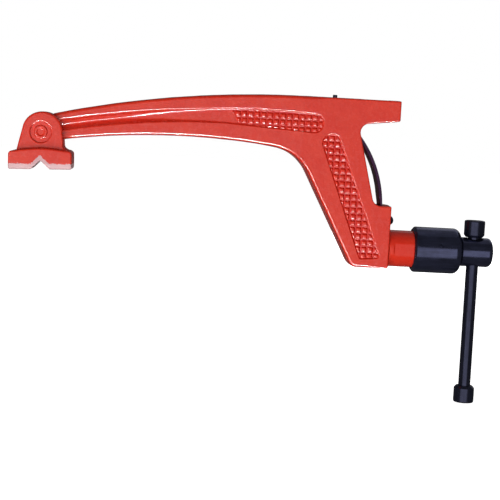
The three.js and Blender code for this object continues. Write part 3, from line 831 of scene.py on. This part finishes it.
def make_shoe(material):
    pitch, depth, land, teeth = 3.4, 1.3, 1.0, 4
    corners = [
        (SHOE_LOW[0], SHOE_HIGH[2], 0.6), (SHOE_LOW[0], SHOE_LOW[2], 0.6), (-depth, SHOE_LOW[2], 0.3),
    ]
    for i in range(teeth):
        middle = (i - teeth // 2) * pitch
        corners += [(-depth, middle - pitch / 2 + 0.2, 0.2), (0, middle - land / 2, 0.25),
                    (0, middle + land / 2, 0.25), (-depth, middle + pitch / 2 - 0.2, 0.2)]
    outline = distance_map(rounded_outline([*corners, (-depth, SHOE_HIGH[2], 0.3)], 4), 0.12)
    hole_radius, hole_floor = 1.8, SHOE_PIN_LOW[2] - 0.2

    def field(x, y, z):
        body = meet(outline(x, z), np.abs(y) - SHOE_HIGH[1], 0.4)
        hole = np.maximum(np.hypot(x - SHOE_PIN_X, y) - hole_radius, hole_floor - z)
        return cut(body, hole, 0.2)

    return carve("toothed_shoe", field, (SHOE_LOW, SHOE_HIGH), material,
                 "frame", "rack_shoe", step=0.4, most_triangles=40000)


def make_shoe_pin(material):
    bottom, top = SHOE_PIN_LOW[2], SHOE_PIN_HIGH[2]
    radius = (SHOE_PIN_HIGH[0] - SHOE_PIN_LOW[0]) / 2
    profile = soft_profile([(0, bottom), (radius, bottom, 0.2), (radius, top, 0.45), (0, top)])
    return lathe("seat_pin", profile, (SHOE_PIN_X, 0, 0), UP, material,
                 "frame", "shoe_pin", around=48)


def make_leaf(material):
    """A leaf that runs straight up from its rivet and then curves, thicker on its free length."""
    radius, thickness, crown = 84, 1.7, 0.7
    outer_x = LEAF_HIGH[0]
    centre_x = outer_x - radius
    sweep = math.asin((LEAF_HIGH[2] - LEAF_BEND_Z) / radius)

    def field(x, y, z):
        curved = np.hypot(x - centre_x, z - LEAF_BEND_Z) - radius
        off_outer = np.where(z > LEAF_BEND_Z, curved, x - outer_x)
        angle_end = (np.arctan2(z - LEAF_BEND_Z, x - centre_x) - sweep) * radius
        ends = np.maximum(angle_end, LEAF_LOW[2] - z)
        plan = meet(np.abs(y) - LEAF_HIGH[1], ends, 1.6)
        half = (thickness + crown * smooth_step(z, LEAF_BEND_Z + 2, LEAF_BEND_Z + 12)) / 2
        strip = meet(np.abs(off_outer + half) - half, plan, 0.3)
        return cut(strip, np.hypot(y, z - RIVET_Z) - RIVET_HOLE, 0.15)

    leaf = carve("leaf", field, (LEAF_LOW, LEAF_HIGH), material,
                 None, "leaf_spring", step=0.4, most_triangles=60000)
    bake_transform(leaf)


def make_spring_rivet(material):
    face = BLOCK_FACE_X + SEAT_AIR
    dome, rise = (RIVET_HIGH[2] - RIVET_LOW[2]) / 2, RIVET_HIGH[0] - face
    end, inner, shank = RIVET_LOW[0], WALL_INNER_X - 2.1, 2
    profile = [
        (0, end), (2.2, end), (3.0, end + 0.5), (3.2, inner), (shank, inner), (shank, face), (dome, face),
    ]
    angles = np.linspace(0.08, math.pi / 2, 12)[:-1]
    profile += [(dome * math.cos(a), face + rise * math.sin(a)) for a in angles]
    profile += [(0, RIVET_HIGH[0])]
    return lathe("leaf_rivet", profile, (0, 0, RIVET_Z), ALONG_SCREW, material,
                 "frame", "spring_rivet", around=56)


# ---- The screw ----

def make_bush(material):
    flat_half, flat_start = 12.85, 26.2
    spigot_radius, spigot_root = 11, BLOCK_FACE_X + 3
    bore_radius, seat_radius, seat_floor = 8.1, 8.3, BUTTON_HIGH[0] + GAP

    def field(x, y, z):
        r = np.hypot(y, z - SCREW_Z)
        barrel = meet(r - BUSH_RADIUS, np.maximum(x - BUSH_END, BLOCK_FACE_X + SEAT_AIR - x), 0.7)
        spigot = meet(r - spigot_radius, np.maximum(x - spigot_root, WALL_INNER_X - x), 0.3)
        body = join(barrel, spigot, 0.2)
        flat = meet(flat_half - np.abs(y), flat_start - x, 0.9)
        body = cut(body, flat, 0.3)
        bore = np.maximum(r - bore_radius, REAR_WALL_X - x)
        seat = np.maximum(r - seat_radius, x - seat_floor)
        return cut(cut(body, bore, 0.5), seat, 0.3)

    return carve("threaded_bush", field, (BUSH_LOW, BUSH_HIGH), material,
                 "frame", "spindle_bush", step=0.4, most_triangles=60000)


def make_button(material):
    """A swivelling foot with a socket for the screw's nose and a groove in it for the snap ring."""
    front, back = BUTTON_LOW[0], BUTTON_HIGH[0]
    radius = (BUTTON_HIGH[2] - BUTTON_LOW[2]) / 2
    socket, groove, floor = 4.2, 5.2, back - 3.4
    near, far = RING_X + 0.8, RING_X - 0.8
    profile = soft_profile([
        (0, front), (radius, front, 0.9), (radius, back, 0.4), (socket, back, 0.2), (socket, near, 0.1),
        (groove, near, 0.1), (groove, far, 0.1), (socket, far, 0.1), (socket, floor, 0.2), (0, floor),
    ])
    return lathe("thrust_pad", profile, (0, 0, SCREW_Z), ALONG_SCREW, material,
                 "foot", "thrust_button", around=72)


def make_button_ring(material):
    """A round-wire snap ring, open at the top."""
    middle_radius, wire, mouth = 4.05, 0.38, 0.22
    vertices, faces = [], []
    stations, sides = 72, 12
    for i in range(stations):
        turn = math.pi / 2 + mouth + (2 * math.pi - 2 * mouth) * i / (stations - 1)
        for k in range(sides):
            a = 2 * math.pi * k / sides
            x, r = RING_X + wire * math.sin(a), middle_radius + wire * math.cos(a)
            vertices.append((x, r * math.cos(turn), SCREW_Z + r * math.sin(turn)))
    for i in range(stations - 1):
        for k in range(sides):
            a, b = i * sides + k, i * sides + (k + 1) % sides
            faces.append((a, a + sides, b + sides, b))
    faces.append(tuple(range(sides)))
    faces.append(tuple((stations - 1) * sides + k for k in reversed(range(sides))))
    points = [tuple(c * MM for c in v) for v in vertices]
    return new_piece("snap_ring", points, faces, material, "foot", "button_ring")


def make_spindle(material):
    """A screw with a ring groove in its nose and a cross-drilled head."""
    pitch, thread_top, thread_depth, thread_end, run_out = 2.0, 7.75, 0.62, 56.5, 1.5
    nose_radius, groove_floor, groove_half = 3.6, 2.9, 0.7
    shank_radius, shank_start, collar_radius = 8.6, 58, 9.4
    collar_start, head_start = SLEEVE_HIGH[0] + 0.2, SLEEVE_HIGH[0] + 0.8
    end_rounding, rod_hole = 3.6, 4.8
    inside_shank, inside_thread, inside_head = 60, 30, 90
    nose_end = BUTTON_HIGH[0] + GAP

    def field(x, y, z):
        r = np.hypot(y, z - SCREW_Z)
        phase = (x / pitch - np.arctan2(z - SCREW_Z, y) / (2 * math.pi)) % 1.0
        fade = np.clip((thread_end - x) / run_out, 0, 1)
        ridge = thread_depth * (1 - np.abs(phase * 2 - 1)) * fade
        core = thread_top - thread_depth * fade
        start_bevel = np.maximum(nose_end + 1.2 - x, 0)
        threaded = meet(r - core - ridge + start_bevel, np.maximum(nose_end - x, x - inside_shank), 0.25)
        nose = meet(r - nose_radius, np.maximum(SPINDLE_LOW[0] - x, x - inside_thread), 0.3)
        nose = cut(nose, np.maximum(groove_floor - r, np.abs(x - RING_X) - groove_half), 0.05)
        shank = meet(r - shank_radius, np.maximum(shank_start - x, x - inside_head), 0.3)
        collar = meet(r - collar_radius, np.maximum(collar_start - x, x - inside_head), 0.3)
        head = meet(r - HEAD_RADIUS, np.maximum(head_start - x, -HEAD_RADIUS), 0.8)
        head = meet(head, x - SPINDLE_HIGH[0], end_rounding)
        body = np.minimum(np.minimum(threaded, nose), np.minimum(shank, collar))
        body = join(body, head, 0.3)
        return cut(body, np.hypot(x - ROD_X, y) - rod_hole, 0.45)

    return carve("screw_spindle", field, (SPINDLE_LOW, SPINDLE_HIGH), material,
                 "screw", "spindle", step=0.36, most_triangles=120000)


def make_sleeve(material):
    rim, end = SLEEVE_LOW[0], SLEEVE_HIGH[0]
    bore, cavity_end, shank_hole, shoulder = 14.1, 58.2, 8.85, 5.2
    bevel, bevel_slope, bevel_scale = 1.7, 1.2, 0.64
    pin_hole, pin_floor = 1.4, 5
    _, pin_y, pin_z = SLEEVE_PIN_AXIS

    def field(x, y, z):
        dz = z - SCREW_Z
        r = np.hypot(y, dz)
        body = meet(r - SLEEVE_RADIUS, x - end, shoulder)
        body = meet(body, rim - x, 0.3)
        nose = (r - SLEEVE_RADIUS + bevel_slope * (rim + bevel - x)) * bevel_scale
        body = meet(body, nose, 0.5)
        body = cut(body, np.maximum(r - bore, x - cavity_end), 0.4)
        body = cut(body, r - shank_hole, 0.35)
        along = y * pin_y + dz * pin_z
        across = np.hypot(x - SLEEVE_PIN_X, y * pin_z - dz * pin_y)
        return cut(body, np.maximum(across - pin_hole, pin_floor - along), 0.3)

    return carve("cover_sleeve", field, (SLEEVE_LOW, SLEEVE_HIGH), material,
                 "screw", "guard_sleeve", step=0.4, most_triangles=110000)


def make_sleeve_pin(material):
    radius, start, end = 1.2, 4.8, SLEEVE_RADIUS - 0.5
    profile = soft_profile([(0, start), (radius, start, 0.2), (radius, end, 0.35), (0, end)])
    return lathe("grooved_pin", profile, (SLEEVE_PIN_X, 0, SCREW_Z), SLEEVE_PIN_AXIS, material,
                 "screw", "sleeve_pin", around=40)


# ---- The tommy bar ----

def make_rod(material):
    bottom, top = ROD_LOW[2], ROD_HIGH[2]
    bevel, inset, rings = 0.5, 2, 24
    side = [(ROD_RADIUS, height) for height in np.linspace(bottom + inset, top - inset, rings)]
    profile = soft_profile([
        (0, bottom), (ROD_RADIUS, bottom, bevel), *side, (ROD_RADIUS, top, bevel), (0, top),
    ])
    return lathe("slide_bar", profile, (ROD_X, 0, 0), UP, material, "tommy", "tommy_rod")


def make_knob(name, node, above_rod, material):
    """A turned knob pressed on the bar: bevelled where the bar goes in, rounded at the far end."""
    low, high = node_box(node)
    radius, socket = (high[0] - low[0]) / 2, ROD_RADIUS + 0.12
    bevel_in, bevel_along = 1.5, 1.7
    if above_rod:
        near, far, out, socket_end = low[2], high[2], 1, ROD_HIGH[2] + GAP
    else:
        near, far, out, socket_end = high[2], low[2], -1, ROD_LOW[2] - GAP
    profile = soft_profile([
        (0, socket_end), (socket, socket_end, 0.2), (socket, near, 0.25), (radius - bevel_in, near, 0.35),
        (radius, near + out * bevel_along, 0.5), (radius, far, 1.1), (0, far),
    ])
    return lathe(name, profile[::out], (ROD_X, 0, 0), UP, material, "tommy", node)


# ---- The stage ----

def make_floor():
    half, below_knob = 6.0, 0.0003
    z = FLOOR_Z * MM - below_knob
    mesh = bpy.data.meshes.new("floor")
    corners = [(-half, -half, z), (half, -half, z), (half, half, z), (-half, half, z)]
    mesh.from_pydata(corners, [], [(0, 1, 2, 3)])
    mesh.materials.append(pale_floor())
    floor = bpy.data.objects.new("floor", mesh)
    bpy.context.scene.collection.objects.link(floor)
    floor.visible_glossy = False
    floor.visible_diffuse = False
    floor.visible_shadow = False


# Name, place, target, width, height, brightness and use. A fill isn't seen in reflections. A strip is
# seen only in reflections, and only in the enamelled pieces.
PART_CENTRE = (-0.06, 0, -0.09)
LIGHTS = [
    ("front_panel", (-0.25, -1.45, -0.33), PART_CENTRE, 2.3, 1.35, 0.65, "panel"),
    ("front_fill", (-0.55, -1.45, -0.45), PART_CENTRE, 1.6, 1.6, 3.3, "fill"),
    ("side_fill", (1.3, -0.3, 0.2), PART_CENTRE, 1.0, 1.0, 0.9, "fill"),
    ("left_fill", (-1.2, -0.5, -0.8), PART_CENTRE, 1.0, 1.0, 1.1, "fill"),
    ("low_strip", (-0.05, -0.62, -0.70), (-0.1, 0, -0.04), 0.70, 0.12, 230, "strip"),
    ("left_strip", (-0.53, -0.60, -0.36), (-0.03, 0, -0.07), 0.12, 0.42, 55, "strip"),
    ("top_panel", (0.3, 0.5, 1.5), PART_CENTRE, 1.6, 1.2, 0.12, "panel"),
    ("back_fill", (0.1, 1.6, 0.15), PART_CENTRE, 1.8, 1.4, 3.0, "fill"),
    ("back_panel", (0.9, 1.2, 0.9), PART_CENTRE, 1.4, 1.2, 0.4, "panel"),
]
WORLD_LIGHT, WORLD_SEEN = 0.07, 1.0


def soft_panel(name, place, target, width, height, radiance):
    """A soft area light of even brightness that the camera doesn't see."""
    data = bpy.data.lights.new(name, "AREA")
    data.shape = "RECTANGLE"
    data.size, data.size_y = width, height
    data.energy = radiance * math.pi * width * height
    light = bpy.data.objects.new(name, data)
    light.location = place
    light.rotation_euler = (Vector(target) - Vector(place)).to_track_quat("-Z", "Y").to_euler()
    light.visible_camera = False
    bpy.context.scene.collection.objects.link(light)
    return light


def make_lights(enamelled):
    for *panel, use in LIGHTS:
        light = soft_panel(*panel)
        if use == "fill":
            light.visible_glossy = False
        if use == "strip":
            light.visible_diffuse = False
            light.light_linking.receiver_collection = enamelled


def make_world():
    """White behind the part, and only a little light from it on the part."""
    world = bpy.data.worlds.new("studio")
    bpy.context.scene.world = world
    world.use_nodes = True
    tree = world.node_tree
    background = tree.nodes["Background"]
    seen = tree.nodes.new("ShaderNodeLightPath")
    level = tree.nodes.new("ShaderNodeMapRange")
    level.inputs["To Min"].default_value = WORLD_LIGHT
    level.inputs["To Max"].default_value = WORLD_SEEN
    tree.links.new(seen.outputs["Is Camera Ray"], level.inputs["Value"])
    tree.links.new(level.outputs["Result"], background.inputs["Strength"])
    background.inputs["Color"].default_value = (1, 1, 1, 1)


CAMERA_PLACE = (-0.157, -1.036, -0.010)
CAMERA_YAW, CAMERA_PITCH, CAMERA_ROLL = -3.038, -3.885, -3.117
CAMERA_LENS, CAMERA_SENSOR = 101.7, 36
CAMERA_SHIFT = (0.06, -0.07)
CAMERA_CLIP = (0.05, 30)


def make_camera():
    """Looks along +Y before it is turned."""
    data = bpy.data.cameras.new("camera")
    data.sensor_width, data.lens = CAMERA_SENSOR, CAMERA_LENS
    data.shift_x, data.shift_y = CAMERA_SHIFT
    data.clip_start, data.clip_end = CAMERA_CLIP
    yaw = Matrix.Rotation(math.radians(CAMERA_YAW), 4, "Z")
    pitch = Matrix.Rotation(math.radians(CAMERA_PITCH), 4, "X")
    roll = Matrix.Rotation(math.radians(CAMERA_ROLL), 4, "Y")
    level = Matrix.Rotation(math.pi / 2, 4, "X")
    camera = bpy.data.objects.new("camera", data)
    camera.matrix_world = Matrix.Translation(CAMERA_PLACE) @ (yaw @ pitch @ roll) @ level
    bpy.context.scene.collection.objects.link(camera)
    bpy.context.scene.camera = camera


# ---- Assembly ----

def make_pieces():
    """Makes every piece, and returns a collection of the ones that the strip lights show in."""
    enamel = red_enamel()
    turned_black = oxide_steel("black_oxide_turned", BLACK_BASE, BLACK_SHEEN, (0.25, 3, 3))
    drawn_black = oxide_steel("black_oxide_drawn", DRAWN_BASE, DRAWN_SHEEN, (4, 4, 0.2), (0.15, 0.3))
    spring = oxide_steel("spring_red_reflection", SPRING_RED_REFLECTED_BASE, SPRING_RED_REFLECTED_SHEEN, (3, 0.2, 3), (0.28, 0.45))
    bare = oxide_steel("bare_machined", STEEL_BASE, STEEL_SHEEN, (0.3, 3, 1), (0.25, 0.45))
    red_pieces = [make_arm(enamel), make_pad(pad_enamel()), make_pad_rivet(enamel)]
    make_bush(enamel)
    make_shoe(bare)
    make_shoe_pin(drawn_black)
    make_leaf(spring)
    make_spring_rivet(turned_black)
    make_button(bare)
    make_button_ring(spring)
    make_spindle(turned_black)
    make_sleeve(turned_black)
    make_sleeve_pin(turned_black)
    make_rod(drawn_black)
    make_knob("top_knob", "upper_knob", True, drawn_black)
    make_knob("bottom_knob", "lower_knob", False, drawn_black)
    enamelled = bpy.data.collections.new("enamelled")
    for piece in red_pieces:
        enamelled.objects.link(piece)
    return enamelled


bpy.context.scene.view_settings.view_transform = "Standard"
enamelled = make_pieces()
make_floor()
make_lights(enamelled)
make_world()
make_camera()
